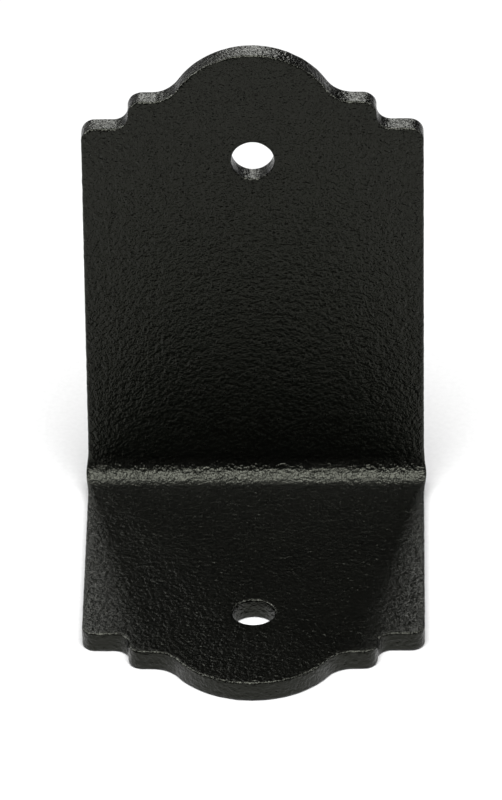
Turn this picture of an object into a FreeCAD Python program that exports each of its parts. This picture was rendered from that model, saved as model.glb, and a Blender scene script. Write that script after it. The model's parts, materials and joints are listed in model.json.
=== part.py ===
"""Ornamental right-angle bracket: one piece of bent steel plate.

The upright leg stands at the back and the foot leg runs forward from it. Both free ends are cut
to the same outline: square shoulders, a riser in from each side to a step, and a round crown
that meets the step in a cove. Each leg has one round fixing hole below its crown.

Frame: X across the width, +Y towards the back of the upright leg, +Z up. The origin is on the
underside, in the middle of the bracket's width and depth. Lengths are in millimetres and
angles in degrees.
"""

import FreeCAD, Part
import math
import os
import Sketcher

# Driving dimensions: alias, value, what it measures.
DIMENSIONS = [
    ("width", 76.2, "across both legs"),
    ("thickness", 4.76, "through the coated plate"),
    ("height", 116.3, "underside to the top of the upright leg's crown"),
    ("depth", 86.9, "back face to the tip of the foot leg's crown"),
    ("bend_radius", 4.8, "inside of the bend"),
    ("crown_radius", 19.8, "round end of each leg"),
    ("crown_rise", 12.1, "step to the top of the crown"),
    ("cove_radius", 7.0, "hollow between the step and the crown"),
    ("step_rise", 7.0, "shoulder to step"),
    ("step_width", 55.3, "from riser to riser"),
    ("corner_radius", 3.2, "corners of shoulders and steps, and the foot of each riser"),
    ("hole_diameter", 9.5, "fixing hole in each leg"),
    ("hole_inset", 27.5, "top of a crown to the middle of its hole"),
    ("arris_radius", 0.5, "eased edges all round both broad faces"),
    ("margin", 5.0, "how far a cut-out reaches past the blank"),
]
# The two free ends: name, the origin plane that its leg is drawn on, the sketch's turn, the
# expression for how far the crown stands from the origin, and whether holes run backwards.
ENDS = [
    ("upright", "XZ_Plane", 0, "dims.height", False),
    ("foot", "XY_Plane", 180, "dims.depth / 2", True),
]
ORIGIN, HORIZONTAL_AXIS, VERTICAL_AXIS = -1, -1, -2  # fixed elements of every sketch
START, END, CENTRE = 1, 2, 3  # the points of a sketch element
TOLERANCE = 1e-6
VOLUME_TOLERANCE = 0.01  # mm3


class Outline:
    """Draws in one of the body's sketches, and binds its sizes to the sheet."""

    def __init__(self, body, name, role, turn=0):
        planes = {feature.Role: feature for feature in body.Origin.OriginFeatures}
        spin = FreeCAD.Rotation(FreeCAD.Vector(0, 0, 1), turn)
        self.sketch = body.newObject("Sketcher::SketchObject", name)
        self.sketch.AttachmentSupport = (planes[role], [""])
        self.sketch.MapMode = "FlatFace"
        self.sketch.AttachmentOffset = FreeCAD.Placement(FreeCAD.Vector(), spin)

    def line(self, first, last):
        """A straight line: its index, and its first and last points."""
        ends = [FreeCAD.Vector(x, y, 0) for x, y in (first, last)]
        return self.sketch.addGeometry(Part.LineSegment(*ends), False), START, END

    def arc(self, centre, radius, first, last):
        """An arc from one angle to another, either way round: its index, first and last points."""
        circle = Part.Circle(FreeCAD.Vector(*centre, 0), FreeCAD.Vector(0, 0, 1), radius)
        low, high = sorted((math.radians(first), math.radians(last)))
        index = self.sketch.addGeometry(Part.ArcOfCircle(circle, low, high), False)
        return (index, START, END) if first < last else (index, END, START)

    def tie(self, *words):
        return self.sketch.addConstraint(Sketcher.Constraint(*words))

    def bind(self, name, expression, *words):
        """A constraint whose size follows the sheet."""
        self.sketch.renameConstraint(self.tie(*words), name)
        self.sketch.setExpression(f"Constraints.{name}", expression)

    def join(self, kind, before, after):
        """Ties the last point of one element to the first point of the next."""
        self.tie(kind, before[0], before[2], after[0], after[1])

    def finish(self):
        """The sketch, once every size and place in it is settled."""
        freedom = self.sketch.solve(), self.sketch.FullyConstrained
        if freedom != (0, True):
            raise RuntimeError(f"{self.sketch.Name}: solver, fully constrained: {freedom}")
        return self.sketch


def add_sheet(doc):
    """Makes the sheet of driving dimensions and returns their values by alias."""
    sheet = doc.addObject("Spreadsheet::Sheet", "dims")
    for row, (alias, value, note) in enumerate(DIMENSIONS, start=1):
        sheet.set(f"A{row}", alias)
        sheet.set(f"B{row}", str(value))
        sheet.set(f"C{row}", note)
        sheet.setAlias(f"B{row}", alias)
    doc.recompute()
    return {alias: float(sheet.get(alias)) for alias, _, _ in DIMENSIONS}


def side_profile(body, size):
    """The bent plate from its side: two legs of one thickness, round a bend."""
    half, height, thick = size["depth"] / 2, size["height"], size["thickness"]
    inner, outer = size["bend_radius"], size["bend_radius"] + thick
    wall, bend_y = half - thick, half - outer

    drawn = Outline(body, "side_profile", "YZ_Plane")
    underside = drawn.line((-half, 0), (bend_y, 0))
    heel = drawn.arc((bend_y, outer), outer, -90, 0)
    back = drawn.line((half, outer), (half, height))
    top = drawn.line((half, height), (wall, height))
    face = drawn.line((wall, height), (wall, outer))
    bend = drawn.arc((bend_y, outer), inner, 0, -90)
    floor = drawn.line((bend_y, thick), (-half, thick))
    front = drawn.line((-half, thick), (-half, 0))

    for before, after in ((underside, heel), (heel, back), (face, bend), (bend, floor)):
        drawn.join("Tangent", before, after)
    for before, after in ((back, top), (top, face), (floor, front), (front, underside)):
        drawn.join("Coincident", before, after)
    for level in (top, floor):
        drawn.tie("Horizontal", level[0])
    for upright in (back, face, front):
        drawn.tie("Vertical", upright[0])
    for point in (START, END):
        drawn.tie("PointOnObject", underside[0], point, HORIZONTAL_AXIS)

    plate = "dims.thickness"
    drawn.bind("bend_radius", "dims.bend_radius", "Radius", bend[0], inner)
    drawn.bind("heel_radius", f"dims.bend_radius + {plate}", "Radius", heel[0], outer)
    drawn.bind("upright_plate", plate, "DistanceX", top[0], END, top[0], START, thick)
    drawn.bind("foot_plate", plate, "DistanceY", front[0], END, front[0], START, thick)
    drawn.bind("height", "dims.height", "DistanceY", ORIGIN, START, top[0], START, height)
    drawn.bind("to_back", "dims.depth / 2", "DistanceX", ORIGIN, START, top[0], START, half)
    drawn.bind("to_tip", "dims.depth / 2", "DistanceX", front[0], END, ORIGIN, START, half)
    return drawn.finish()


def end_waste(body, end, reach, size):
    """The waste round one end: a closed loop of the end's outline and a box outside the blank."""
    name, role, turn, reach_cell, _ = end
    crown, cove, corner = size["crown_radius"], size["cove_radius"], size["corner_radius"]
    half, riser_x = size["width"] / 2, size["step_width"] / 2
    box_x, box_y = half + size["margin"], reach + size["margin"]
    step_y = reach - size["crown_rise"]
    shoulder_y = step_y - size["step_rise"]
    crown_y, cove_y = reach - crown, step_y + cove
    cove_x = math.sqrt((crown + cove) ** 2 - (cove_y - crown_y) ** 2)
    meet = math.degrees(math.atan2(cove_y - crown_y, cove_x))
    step_cell = f"{reach_cell} - dims.crown_rise"
    shoulder_cell = f"{step_cell} - dims.step_rise"

    drawn = Outline(body, f"{name}_waste_outline", role, turn)
    crown_arc = drawn.arc((0, crown_y), crown, meet, 180 - meet)
    box_top = drawn.line((box_x, box_y), (-box_x, box_y))
    drawn.tie("PointOnObject", crown_arc[0], CENTRE, VERTICAL_AXIS)
    drawn.tie("Horizontal", box_top[0])
    drawn.bind("crown_radius", "dims.crown_radius", "Radius", crown_arc[0], crown)
    rise = ("DistanceY", ORIGIN, START)
    drawn.bind("crown_centre", f"{reach_cell} - dims.crown_radius", *rise, crown_arc[0], CENTRE, crown_y)
    drawn.bind("box_top", f"{reach_cell} + dims.margin", *rise, box_top[0], START, box_y)

    for side, hand in ((1, "right"), (-1, "left")):

        def across(x, y):
            return side * x, y

        def turned(angle):
            return angle if side > 0 else 180 - angle

        def arc(x, y, radius, first, last):
            return drawn.arc(across(x, y), radius, turned(first), turned(last))

        def line(x, y, next_x, next_y):
            return drawn.line(across(x, y), across(next_x, next_y))

        # From the crown outwards.
        cove_arc = arc(cove_x, cove_y, cove, 180 + meet, 270)
        step = line(cove_x, step_y, riser_x - corner, step_y)
        step_corner = arc(riser_x - corner, step_y - corner, corner, 90, 0)
        riser = line(riser_x, step_y - corner, riser_x, shoulder_y + corner)
        riser_foot = arc(riser_x + corner, shoulder_y + corner, corner, 180, 270)
        shoulder = line(riser_x + corner, shoulder_y, half - corner, shoulder_y)
        shoulder_corner = arc(half - corner, shoulder_y - corner, corner, 90, 0)
        box_foot = line(half, shoulder_y - corner, box_x, shoulder_y - corner)
        box_side = line(box_x, shoulder_y - corner, box_x, box_y)

        crown_end = (crown_arc[0], None, START if side > 0 else END)
        smooth = (crown_end, cove_arc, step, step_corner, riser, riser_foot, shoulder, shoulder_corner)
        for before, after in zip(smooth, smooth[1:]):
            drawn.join("Tangent", before, after)
        box_end = (box_top[0], START if side > 0 else END)
        for before, after in ((shoulder_corner, box_foot), (box_foot, box_side), (box_side, box_end)):
            drawn.join("Coincident", before, after)
        for level in (step, shoulder, box_foot):
            drawn.tie("Horizontal", level[0])
        for upright in (riser, box_side):
            drawn.tie("Vertical", upright[0])
        drawn.tie("Horizontal", shoulder_corner[0], CENTRE, shoulder_corner[0], shoulder_corner[2])

        def bind_radius(words, alias, element):
            drawn.bind(f"{words}_{hand}", f"dims.{alias}", "Radius", element[0], size[alias])

        def bind_out(words, expression, element, point, value):
            ends = (ORIGIN, START, element[0], point) if side > 0 else (element[0], point, ORIGIN, START)
            drawn.bind(f"{words}_{hand}", expression, "DistanceX", *ends, value)

        bind_radius("cove_radius", "cove_radius", cove_arc)
        bind_radius("step_corner_radius", "corner_radius", step_corner)
        bind_radius("riser_foot_radius", "corner_radius", riser_foot)
        bind_radius("shoulder_corner_radius", "corner_radius", shoulder_corner)
        bind_out("riser", "dims.step_width / 2", riser, START, riser_x)
        bind_out("side", "dims.width / 2", shoulder_corner, shoulder_corner[2], half)
        bind_out("box", "dims.width / 2 + dims.margin", box_side, START, box_x)
        drawn.bind(f"step_{hand}", step_cell, *rise, step[0], START, step_y)
        drawn.bind(f"shoulder_{hand}", shoulder_cell, *rise, shoulder[0], START, shoulder_y)
    return drawn.finish()


def hole_circle(body, end, reach, size):
    """The fixing hole of one leg."""
    name, role, turn, reach_cell, _ = end
    drawn = Outline(body, f"{name}_hole_circle", role, turn)
    centre = FreeCAD.Vector(0, reach - size["hole_inset"], 0)
    circle = Part.Circle(centre, FreeCAD.Vector(0, 0, 1), size["hole_diameter"] / 2)
    index = drawn.sketch.addGeometry(circle, False)
    drawn.tie("PointOnObject", index, CENTRE, VERTICAL_AXIS)
    drawn.bind("diameter", "dims.hole_diameter", "Diameter", index, size["hole_diameter"])
    height = f"{reach_cell} - dims.hole_inset"
    drawn.bind("inset", height, "DistanceY", ORIGIN, START, index, CENTRE, centre.y)
    return drawn.finish()


def cut_end(doc, body, end, reach, size):
    """Cuts the outline of one leg's end, then drills its hole."""
    name, backwards = end[0], end[4]
    before = body.Shape.Volume
    waste = body.newObject("PartDesign::Pocket", f"{name}_outline")
    waste.Profile = end_waste(body, end, reach, size)
    waste.Type = "ThroughAll"
    waste.SideType = "Symmetric"
    doc.recompute()
    trimmed = body.Shape.Volume
    if trimmed > before - VOLUME_TOLERANCE:
        raise RuntimeError(f"{waste.Name} cut nothing")

    circle = hole_circle(body, end, reach, size)
    doc.recompute()
    hole = body.newObject("PartDesign::Hole", f"{name}_hole")
    hole.Profile = circle
    hole.DepthType = "ThroughAll"
    hole.Reversed = backwards
    hole.setExpression("Diameter", "dims.hole_diameter")
    doc.recompute()
    drilled = math.pi * (size["hole_diameter"] / 2) ** 2 * size["thickness"]
    if abs(trimmed - body.Shape.Volume - drilled) > VOLUME_TOLERANCE:
        raise RuntimeError(f"{hole.Name} cut {trimmed - body.Shape.Volume:.2f} mm3, not {drilled:.2f}")


def rim_edges(shape, size):
    """Names of the edges round both broad faces of the bent plate, the holes' rims included."""
    thick, outer = size["thickness"], size["bend_radius"] + size["thickness"]
    back = size["depth"] / 2

    def depth_in_plate(point):
        """How far a point lies from the plate's outer face: 0 on it, the thickness on the inner."""
        in_y, in_z = back - point.y, point.z
        if in_y < outer and in_z < outer:
            return outer - math.hypot(outer - in_y, outer - in_z)
        return min(in_y, in_z)

    names = []
    for number, edge in enumerate(shape.Edges, start=1):
        depths = [depth_in_plate(point) for point in edge.discretize(5)]
        on_face = any(all(abs(d - face) < TOLERANCE for d in depths) for face in (0, thick))
        bend_line = abs(edge.BoundBox.XLength - size["width"]) < TOLERANCE
        if on_face and not bend_line:
            names.append(f"Edge{number}")
    return names


def bracket_plate(doc, size):
    """The bent plate, cut, drilled and with every edge eased."""
    body = doc.addObject("PartDesign::Body", "bracket_plate")
    body.Label = "bracket_plate"
    body.Placement = FreeCAD.Placement()
    blank = body.newObject("PartDesign::Pad", "bent_blank")
    blank.Profile = side_profile(body, size)
    blank.SideType = "Symmetric"
    blank.setExpression("Length", "dims.width")
    doc.recompute()
    for end, reach in zip(ENDS, (size["height"], size["depth"] / 2)):
        cut_end(doc, body, end, reach, size)

    base = body.Tip
    easing = body.newObject("PartDesign::Fillet", "eased_edges")
    easing.Base = (base, rim_edges(base.Shape, size))
    easing.setExpression("Radius", "dims.arris_radius")
    doc.recompute()
    body.Tip = easing
    return body


def check(doc, bodies, size):
    """Stops if any object failed, or a body's shape isn't one sound solid of the right size."""
    for item in doc.Objects:
        if "Invalid" in item.State or "Error" in item.State:
            raise RuntimeError(f"{item.Name}: {item.State}")
    for body in bodies:
        shape, box = body.Shape, body.Shape.optimalBoundingBox(False)
        if shape.isNull() or not shape.isValid() or len(shape.Solids) != 1:
            raise RuntimeError(f"{body.Label} isn't one valid solid")
        for found, alias in zip((box.XLength, box.YLength, box.ZLength), ("width", "depth", "height")):
            if abs(found - size[alias]) > TOLERANCE:
                raise RuntimeError(f"{body.Label}: {alias} is {found}")


def main():
    os.makedirs("parts", exist_ok=True)
    doc = FreeCAD.newDocument("angle_bracket")
    size = add_sheet(doc)
    bodies = [bracket_plate(doc, size)]
    doc.recompute()
    check(doc, bodies, size)
    for body in bodies:
        body.Shape.exportStep(f"parts/{body.Label}.step")
        box = body.Shape.optimalBoundingBox(False)
        print(f"{body.Label}: {body.Shape.Volume:.1f} mm3, {box}")


main()
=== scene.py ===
"""Looks of an ornamental angle bracket: bent steel plate under a fine-textured black powder coat.

The plate is drawn flat, as it is cut, then bent round the corner. Its place, thickness and holes
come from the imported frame, and its outline from a few sizes of the cut. Lengths are in metres.
"""

import json
import math

import bpy
import numpy as np
from mathutils import Matrix, Vector
from mathutils.geometry import delaunay_2d_cdt


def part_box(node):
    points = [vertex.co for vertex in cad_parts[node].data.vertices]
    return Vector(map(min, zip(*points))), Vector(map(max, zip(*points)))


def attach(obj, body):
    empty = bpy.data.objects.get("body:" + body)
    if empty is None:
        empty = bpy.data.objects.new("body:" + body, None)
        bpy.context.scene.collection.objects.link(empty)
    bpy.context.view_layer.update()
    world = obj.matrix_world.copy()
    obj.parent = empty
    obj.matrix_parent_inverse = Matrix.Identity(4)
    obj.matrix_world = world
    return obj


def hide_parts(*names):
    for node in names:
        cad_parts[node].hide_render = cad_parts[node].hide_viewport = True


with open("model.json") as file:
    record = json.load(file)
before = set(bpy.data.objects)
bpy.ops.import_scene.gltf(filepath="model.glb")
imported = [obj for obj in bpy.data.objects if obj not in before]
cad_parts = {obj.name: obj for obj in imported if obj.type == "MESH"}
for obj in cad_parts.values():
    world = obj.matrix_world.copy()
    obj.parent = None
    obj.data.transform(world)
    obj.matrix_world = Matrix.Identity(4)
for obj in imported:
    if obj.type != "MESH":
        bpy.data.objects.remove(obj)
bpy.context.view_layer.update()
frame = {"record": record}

MM = 0.001
cad_low, cad_high = (Vector(corner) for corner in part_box("bracket_plate"))
mounts = {mount["name"]: mount for mount in frame["record"]["mounts"]}

# ---- Sizes -----------------------------------------------------------------------------------
HALF_WIDTH = cad_high.x
TOP, BACK, TIP = cad_high.z, cad_high.y, cad_low.y
THICKNESS = mounts["inner_foot_face"]["pos_m"][2]
HOLE_RADIUS = mounts["upper_hole"]["dims"]["r_mm"] * MM
UPPER_HOLE_Z = mounts["upper_hole"]["pos_m"][2]
LOWER_HOLE_Y = mounts["lower_hole"]["pos_m"][1]
BEND_RADIUS = 4.8 * MM
CROWN_RADIUS, CROWN_RISE, COVE_RADIUS = 19.8 * MM, 12.1 * MM, 7.0 * MM
STEP_HALF, STEP_RISE, CORNER_RADIUS = 27.65 * MM, 7.0 * MM, 3.2 * MM
ARRIS_RADIUS = 0.5 * MM

SPACING = 0.62 * MM  # of the mesh's points across the faces and along the rims
RIM_GAP = 0.7 * SPACING  # the least distance from a face's inner points to its rims
MERGE_DISTANCE = 1e-9  # points closer than this would be one point
ARRIS_STEPS, WALL_STEPS = 4, 5  # round an eased edge, and between the two eased edges
BATCHES = 64  # large arrays of distances are worked out in this many parts

# ---- The flat pattern: u across, q along and w up from the outer face ---------------------------
OUTER_RADIUS = BEND_RADIUS + THICKNESS
BEND_Y = BACK - OUTER_RADIUS  # the bend's axis runs along X at this y and at z = OUTER_RADIUS
BEND_LENGTH = (BEND_RADIUS + THICKNESS / 2) * math.pi / 2
FOOT_LENGTH = BEND_Y - TIP
LEG_LENGTH = TOP - OUTER_RADIUS
Q_TIP, Q_TOP = -FOOT_LENGTH, BEND_LENGTH + LEG_LENGTH  # q is 0 where the foot meets the bend


def bend(u, q, w):
    """Where the flat plate's points lie on the bent plate."""
    angle = np.clip(q / BEND_LENGTH, 0, 1) * math.pi / 2
    radius = OUTER_RADIUS - w
    along_foot, up_leg = np.minimum(q, 0), np.maximum(q - BEND_LENGTH, 0)
    y = BEND_Y + along_foot + radius * np.sin(angle)
    z = OUTER_RADIUS - radius * np.cos(angle) + up_leg
    return np.stack([u, y, z], axis=1)


def spaced(length):
    """How many steps of about SPACING a length takes."""
    return max(2, math.ceil(length / SPACING))


def arc_run(centre, radius, first, last, hollow=False):
    """Points and outward normals from one angle to another in degrees, without the last point.

    The plate lies inside the circle, or outside it where the arc is hollow.
    """
    steps = spaced(abs(math.radians(last - first)) * radius)
    angle = np.radians(np.linspace(first, last, steps + 1)[:-1])
    out = np.stack([np.cos(angle), np.sin(angle)], axis=1)
    return np.array(centre) + radius * out, -out if hollow else out


def line_run(first, last, normal):
    """Points and normals from one point to another, without the last point."""
    steps = spaced(math.dist(first, last))
    share = np.linspace(0, 1, steps + 1)[:-1, None]
    points = np.array(first) * (1 - share) + np.array(last) * share
    return points, np.tile(normal, (steps, 1))


def end_outline():
    """(u, v) and normals of one end, from its right shoulder over the crown to the left.

    v runs along the plate and is 0 at the crown's top.
    """
    step_v = -CROWN_RISE
    shoulder_v = step_v - STEP_RISE
    crown_v, cove_v = -CROWN_RADIUS, step_v + COVE_RADIUS
    cove_u = math.sqrt((CROWN_RADIUS + COVE_RADIUS) ** 2 - (cove_v - crown_v) ** 2)
    meet = math.degrees(math.atan2(cove_v - crown_v, cove_u))
    corner = CORNER_RADIUS
    up, right = (0, 1), (1, 0)
    right_half = [
        arc_run((HALF_WIDTH - corner, shoulder_v - corner), corner, 0, 90),
        line_run((HALF_WIDTH - corner, shoulder_v), (STEP_HALF + corner, shoulder_v), up),
        arc_run((STEP_HALF + corner, shoulder_v + corner), corner, 270, 180, hollow=True),
        line_run((STEP_HALF, shoulder_v + corner), (STEP_HALF, step_v - corner), right),
        arc_run((STEP_HALF - corner, step_v - corner), corner, 0, 90),
        line_run((STEP_HALF - corner, step_v), (cove_u, step_v), up),
        arc_run((cove_u, cove_v), COVE_RADIUS, 270, 180 + meet, hollow=True),
        arc_run((0, crown_v), CROWN_RADIUS, meet, 90),
    ]
    points = np.concatenate([run[0] for run in right_half])
    normals = np.concatenate([run[1] for run in right_half])
    mirror = np.array([-1, 1])
    top = np.array([[0.0, 0.0]])
    points = np.concatenate([points, top, points[::-1] * mirror])
    normals = np.concatenate([normals, [[0.0, 1.0]], normals[::-1] * mirror])
    return points, normals


def outer_loop():
    """The whole outline: the upright's end, the left side, the foot's end and the right side."""
    end, end_normals = end_outline()
    upright, foot = end + [0, Q_TOP], Q_TIP * np.array([0, 1]) - end
    left = line_run(upright[-1], foot[0], (-1, 0))
    right = line_run(foot[-1], upright[0], (1, 0))
    points = [upright, left[0][1:], foot, right[0][1:]]
    normals = [end_normals, left[1][1:], -end_normals, right[1][1:]]
    return np.concatenate(points), np.concatenate(normals)


def hole_loop(q):
    """A hole's rim, clockwise, with its normals towards the hole's middle."""
    return arc_run((0, q), HOLE_RADIUS, 360, 0, hollow=True)


def edge_section():
    """(inset, height) of the plate's edge from its outer face to its inner face."""
    turn = np.radians(np.linspace(0, 90, ARRIS_STEPS + 1))
    inset = ARRIS_RADIUS * (1 - np.sin(turn))
    height = ARRIS_RADIUS * (1 - np.cos(turn))
    wall = np.linspace(ARRIS_RADIUS, THICKNESS - ARRIS_RADIUS, WALL_STEPS + 1)[1:-1]
    insets = np.concatenate([inset, np.zeros(WALL_STEPS - 1), inset[::-1]])
    heights = np.concatenate([height, wall, THICKNESS - height[::-1]])
    return insets, heights


def inside(points, loop):
    """Which points a closed loop holds, by counting its edges to their right."""
    x, y = points[:, 0, None], points[:, 1, None]
    x0, y0 = loop.T
    x1, y1 = np.roll(loop, -1, axis=0).T
    crosses = (y0 > y) != (y1 > y)
    rise = np.where(y1 == y0, 1, y1 - y0)
    return (crosses & (x < x0 + (y - y0) / rise * (x1 - x0))).sum(axis=1) % 2 == 1


def on_plate(points, loops):
    """Which points lie inside the first loop and outside the others."""
    held = []
    for part in np.array_split(points, BATCHES):
        in_part = inside(part, loops[0])
        for hole in loops[1:]:
            in_part &= ~inside(part, hole)
        held.append(in_part)
    return np.concatenate(held)


def distance_to(targets, points):
    """How far each point is from the nearest target."""
    distances = []
    for part in np.array_split(points, BATCHES):
        squares = ((part[:, None] - targets) ** 2).sum(axis=2)
        distances.append(np.sqrt(squares).min(axis=1))
    return np.concatenate(distances)


def face_points(loops):
    """A triangular lattice of points on the plate and clear of its rims."""
    us = np.arange(-HALF_WIDTH, HALF_WIDTH, SPACING)
    qs = np.arange(Q_TIP, Q_TOP, SPACING * math.sqrt(3) / 2)
    u, q = np.meshgrid(us, qs)
    u = u + SPACING / 2 * (np.arange(len(qs)) % 2)[:, None]
    lattice = np.stack([u.ravel(), q.ravel()], axis=1)
    clear = distance_to(np.concatenate(loops), lattice) > RIM_GAP
    return lattice[on_plate(lattice, loops) & clear]


def flat_face(loops):
    """Points and triangles of one face of the flat plate. The loops' points come first."""
    flat = np.concatenate([*loops, face_points(loops)])
    edges, start = [], 0
    for loop in loops:
        ring = np.arange(start, start + len(loop))
        edges += zip(ring.tolist(), np.roll(ring, -1).tolist())
        start += len(loop)
    corners, _, triangles, *_ = delaunay_2d_cdt([Vector(p) for p in flat], edges, [], 0, MERGE_DISTANCE)
    if len(corners) != len(flat):
        raise RuntimeError("the flat pattern's rims cross")
    triangles = np.array(triangles)
    middles = flat[triangles].mean(axis=1)
    return flat, triangles[on_plate(middles, loops)]


def plate_mesh():
    """Points as (u, q, w), and triangles and quads, of the flat plate with eased edges and two holes."""
    upper_q = BEND_LENGTH + UPPER_HOLE_Z - OUTER_RADIUS
    lower_q = LOWER_HOLE_Y - BEND_Y
    rims = [outer_loop(), hole_loop(upper_q), hole_loop(lower_q)]
    insets, heights = edge_section()
    flat, triangles = flat_face([points - normals * ARRIS_RADIUS for points, normals in rims])

    count = len(flat)
    outer_face = np.column_stack([flat, np.zeros(count)])
    inner_face = np.column_stack([flat, np.full(count, THICKNESS)])
    points = [outer_face, inner_face]
    faces = [*triangles[:, ::-1].tolist(), *(triangles + count).tolist()]
    total, start = 2 * count, 0
    for loop, normals in rims:
        size = len(loop)
        ring = np.arange(size)
        rings = [start + ring]
        for inset, height in zip(insets[1:-1], heights[1:-1]):
            points.append(np.column_stack([loop - normals * inset, np.full(size, height)]))
            rings.append(total + ring)
            total += size
        rings.append(count + start + ring)
        for low, high in zip(rings, rings[1:]):
            quads = np.stack([low, np.roll(low, -1), np.roll(high, -1), high], axis=1)
            faces += quads.tolist()
        start += size
    return np.concatenate(points), faces


# ---- What bending and coating do to the plate --------------------------------------------------
BULGE = 0.6 * MM  # each side edge swells this far at the inside of the bend
BULGE_OUTSIDE = -0.5  # of that, at the outside of the bend, where the plate is drawn in
BULGE_REACH = 4.6 * MM  # along the plate, to either side of the middle of the bend
BULGE_DEPTH = 6.0 * MM  # in from the side edge
WAVINESS = 0.018 * MM  # how far the coat's surface wanders
WAVE_LENGTHS = 1.6 * MM, 4.5 * MM
WAVE_COUNT, WAVE_SEED = 90, 3


def swell(points):
    """Moves the side edges out where bending squeezes the inner face, and in at the outer face."""
    u, q, w = points.T
    along = np.exp(-(((q - BEND_LENGTH / 2) / BULGE_REACH) ** 2))
    near_edge = np.clip((np.abs(u) - (HALF_WIDTH - BULGE_DEPTH)) / BULGE_DEPTH, 0, 1) ** 2
    through = BULGE_OUTSIDE + (1 - BULGE_OUTSIDE) * w / THICKNESS
    return np.column_stack([u + np.sign(u) * BULGE * along * near_edge * through, q, w])


def waves(points):
    """Smooth noise of about unit size: plane waves of random direction, length and phase."""
    chance = np.random.default_rng(WAVE_SEED)
    directions = chance.normal(size=(WAVE_COUNT, 3))
    directions /= np.linalg.norm(directions, axis=1, keepdims=True)
    lengths = np.exp(chance.uniform(*np.log(WAVE_LENGTHS), size=WAVE_COUNT))
    phases = chance.uniform(0, 2 * math.pi, size=WAVE_COUNT)
    total = np.zeros(len(points))
    for direction, length, phase in zip(directions, lengths, phases):
        total += np.sin(points @ direction * 2 * math.pi / length + phase)
    return total * math.sqrt(2 / WAVE_COUNT)


def make_bracket(material):
    """The bent plate as one smooth mesh, in place of the CAD's plate."""
    flat, faces = plate_mesh()
    mesh = bpy.data.meshes.new("powder_coated_bracket")
    mesh.from_pydata(bend(*swell(flat).T), [], faces)
    mesh.update()
    places = np.empty(len(mesh.vertices) * 3, np.float32)
    normals = np.empty_like(places)
    mesh.vertices.foreach_get("co", places)
    mesh.vertex_normals.foreach_get("vector", normals)
    places, normals = places.reshape(-1, 3), normals.reshape(-1, 3)
    places = places + normals * (WAVINESS * waves(places))[:, None]
    mesh.vertices.foreach_set("co", places.astype(np.float32).ravel())
    mesh.shade_smooth()
    mesh.materials.append(material)
    mesh.update()
    bracket = bpy.data.objects.new("powder_coated_bracket", mesh)
    bpy.context.collection.objects.link(bracket)
    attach(bracket, "root")
    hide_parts("bracket_plate")
    return bracket


# ---- Materials ---------------------------------------------------------------------------------
GRAIN_SCALE = 1100.0  # noise cells to the metre
GRAIN_HEIGHT = 0.42 * MM  # of the bump, for the whole range of the noise
GRAIN_DETAIL, GRAIN_ROUGHNESS = 2.0, 0.6
PATCH_SCALE, PATCH_DETAIL, PATCH_ROUGHNESS = 70.0, 3.0, 0.6
PATCH_COLOURS = [(0.35, (0.0002, 0.0002, 0.0002)), (0.7, (0.0006, 0.0006, 0.0005))]
COAT_ROUGHNESS = [(0.3, 0.18), (0.7, 0.28)]
COAT_SPECULAR, COAT_TINT = 0.235, (0.97, 1.0, 0.84, 1.0)  # the sheen is slightly warm and green

TOOTH_SCALE, TOOTH_DETAIL = 900.0, 2.0
PAPER_GREYS = [(0.3, 0.86), (0.7, 0.90)]
PAPER_ROUGHNESS, PAPER_SPECULAR = 0.9, 0.2


class Nodes:
    """A material whose nodes are added one at a time."""

    def __init__(self, name):
        self.material = bpy.data.materials.new(name)
        self.material.use_nodes = True
        self.tree = self.material.node_tree
        self.shader = self.tree.nodes["Principled BSDF"]

    def add(self, kind, links=None, **inputs):
        """A node with some inputs linked and others set, each by its socket's name."""
        node = self.tree.nodes.new(kind)
        for name, value in inputs.items():
            node.inputs[name].default_value = value
        for name, source in (links or {}).items():
            self.tree.links.new(source, node.inputs[name])
        return node

    def ramp(self, source, stops):
        """A colour ramp of (position, grey or colour) stops."""
        node = self.add("ShaderNodeValToRGB", {"Fac": source})
        elements = node.color_ramp.elements
        for element, (position, colour) in zip(elements, stops):
            element.position = position
            element.color = (*colour, 1) if isinstance(colour, tuple) else (colour, colour, colour, 1)
        return node.outputs["Color"]

    def feed(self, name, source):
        """Links a source to the shader's input of that name."""
        self.tree.links.new(source, self.shader.inputs[name])


def powder_coat():
    """Satin black powder coat: a fine orange peel of fused grains under a millimetre across."""
    coat = Nodes("black_powder_coat")
    place = coat.add("ShaderNodeTexCoord").outputs["Object"]
    grain = coat.add(
        "ShaderNodeTexNoise",
        {"Vector": place},
        Scale=GRAIN_SCALE,
        Detail=GRAIN_DETAIL,
        Roughness=GRAIN_ROUGHNESS,
    ).outputs["Fac"]
    patch = coat.add(
        "ShaderNodeTexNoise",
        {"Vector": place},
        Scale=PATCH_SCALE,
        Detail=PATCH_DETAIL,
        Roughness=PATCH_ROUGHNESS,
    ).outputs["Fac"]
    bump = coat.add("ShaderNodeBump", {"Height": grain}, Strength=1.0, Distance=GRAIN_HEIGHT)
    coat.feed("Base Color", coat.ramp(patch, PATCH_COLOURS))
    coat.feed("Roughness", coat.ramp(grain, COAT_ROUGHNESS))
    coat.feed("Normal", bump.outputs["Normal"])
    coat.shader.inputs["Specular IOR Level"].default_value = COAT_SPECULAR
    coat.shader.inputs["Specular Tint"].default_value = COAT_TINT
    return coat.material


def floor_paper():
    """Matt white paper with a faint tooth."""
    paper = Nodes("floor_paper")
    place = paper.add("ShaderNodeTexCoord").outputs["Object"]
    tooth = paper.add("ShaderNodeTexNoise", {"Vector": place}, Scale=TOOTH_SCALE, Detail=TOOTH_DETAIL)
    paper.feed("Base Color", paper.ramp(tooth.outputs["Fac"], PAPER_GREYS))
    paper.shader.inputs["Roughness"].default_value = PAPER_ROUGHNESS
    paper.shader.inputs["Specular IOR Level"].default_value = PAPER_SPECULAR
    return paper.material


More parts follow.
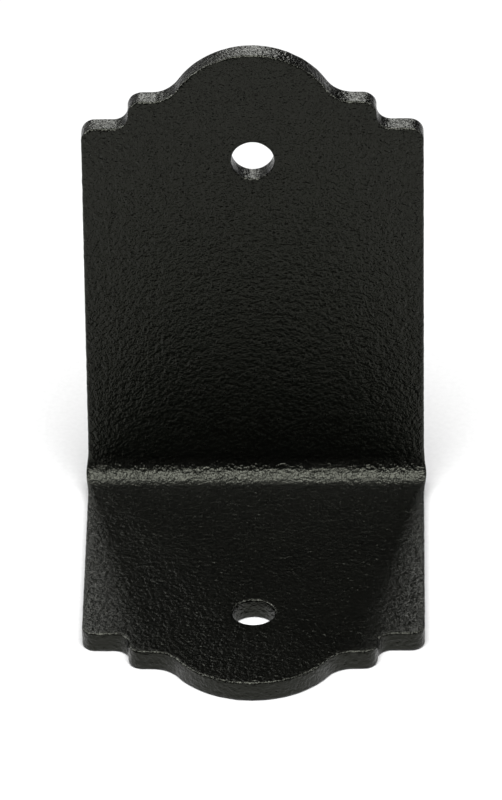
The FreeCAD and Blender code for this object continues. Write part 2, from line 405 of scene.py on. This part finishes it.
# ---- Floor, light and camera -------------------------------------------------------------------
CENTRE = (cad_low + cad_high) / 2
FLOOR_SIZE = 6.0
FLOOR_DROP = 4 * WAVINESS  # below the CAD, so that the coat's waves stay above the floor
WORLD_LIGHT = 0.02

# Softboxes: name, azimuth round from the front towards the right, elevation, distance, width,
# height, power in watts, and what it lights. The ones for the bracket stand for lamps with grids,
# which keep their light off the paper under it.
SOFTBOXES = [
    ("overhead_softbox", 0, 69, 0.8, 0.5, 0.72, 15.8, "bracket"),
    ("left_softbox", -100, 30, 0.8, 0.36, 0.36, 7.0, "bracket"),
    ("right_softbox", 100, 30, 0.8, 0.36, 0.36, 4.4, "bracket"),
    ("back_softbox", 180, 36, 0.8, 0.36, 0.4, 4.2, "bracket"),
    ("back_left_softbox", -140, 36, 0.8, 0.3, 0.3, 1.2, "bracket"),
    ("floor_softbox", 0, 75, 1.2, 1.0, 1.0, 27.0, "floor"),
]

CAMERA_AIM = CENTRE + Vector((-0.23, -3.42, -5.15)) * MM
CAMERA_AZIMUTH, CAMERA_ELEVATION, CAMERA_ROLL = 1.054, 33.49, -0.725  # degrees
CAMERA_DISTANCE = 2.0776
CAMERA_LENS, CAMERA_SENSOR = 423.5, 36.0  # in Blender's own units for these, millimetres
CAMERA_CLIP = 0.05, 20.0


def direction(azimuth, elevation):
    """The unit vector that way from the object: azimuth 0 is the front, 90 the right."""
    a, e = math.radians(azimuth), math.radians(elevation)
    return Vector((math.sin(a) * math.cos(e), -math.cos(a) * math.cos(e), math.sin(e)))


def make_floor(material):
    bpy.ops.mesh.primitive_plane_add(size=FLOOR_SIZE, location=(0, 0, cad_low.z - FLOOR_DROP))
    floor = bpy.context.object
    floor.name = "floor"
    floor.data.materials.append(material)
    return floor


def add_softbox(name, azimuth, elevation, distance, width, height, power, lit):
    """A rectangular lamp that faces the bracket's middle and lights one object only."""
    lamp = bpy.data.lights.new(name, "AREA")
    lamp.shape, lamp.size, lamp.size_y = "RECTANGLE", width, height
    lamp.energy = power
    box = bpy.data.objects.new(name, lamp)
    towards = direction(azimuth, elevation)
    box.location = CENTRE + towards * distance
    box.rotation_euler = towards.to_track_quat("Z", "Y").to_euler()
    bpy.context.collection.objects.link(box)
    receivers = bpy.data.collections.new(f"lit_by_{name}")
    receivers.objects.link(lit)
    box.light_linking.receiver_collection = receivers


def make_world():
    world = bpy.data.worlds.new("studio")
    world.use_nodes = True
    background = world.node_tree.nodes["Background"]
    background.inputs["Color"].default_value = (1.0, 1.0, 1.0, 1.0)
    background.inputs["Strength"].default_value = WORLD_LIGHT
    bpy.context.scene.world = world


def make_camera():
    data = bpy.data.cameras.new("camera")
    data.sensor_width, data.lens = CAMERA_SENSOR, CAMERA_LENS
    data.clip_start, data.clip_end = CAMERA_CLIP
    camera = bpy.data.objects.new("camera", data)
    back = direction(CAMERA_AZIMUTH, CAMERA_ELEVATION)
    camera.location = CAMERA_AIM + back * CAMERA_DISTANCE
    level = back.to_track_quat("Z", "Y").to_matrix()
    roll = Matrix.Rotation(math.radians(CAMERA_ROLL), 3, "Z")
    camera.rotation_euler = (level @ roll).to_euler()
    bpy.context.collection.objects.link(camera)
    bpy.context.scene.camera = camera


objects = {"bracket": make_bracket(powder_coat()), "floor": make_floor(floor_paper())}
make_world()
for *softbox, lit in SOFTBOXES:
    add_softbox(*softbox, objects[lit])
make_camera()
bpy.context.scene.view_settings.view_transform = "Standard"
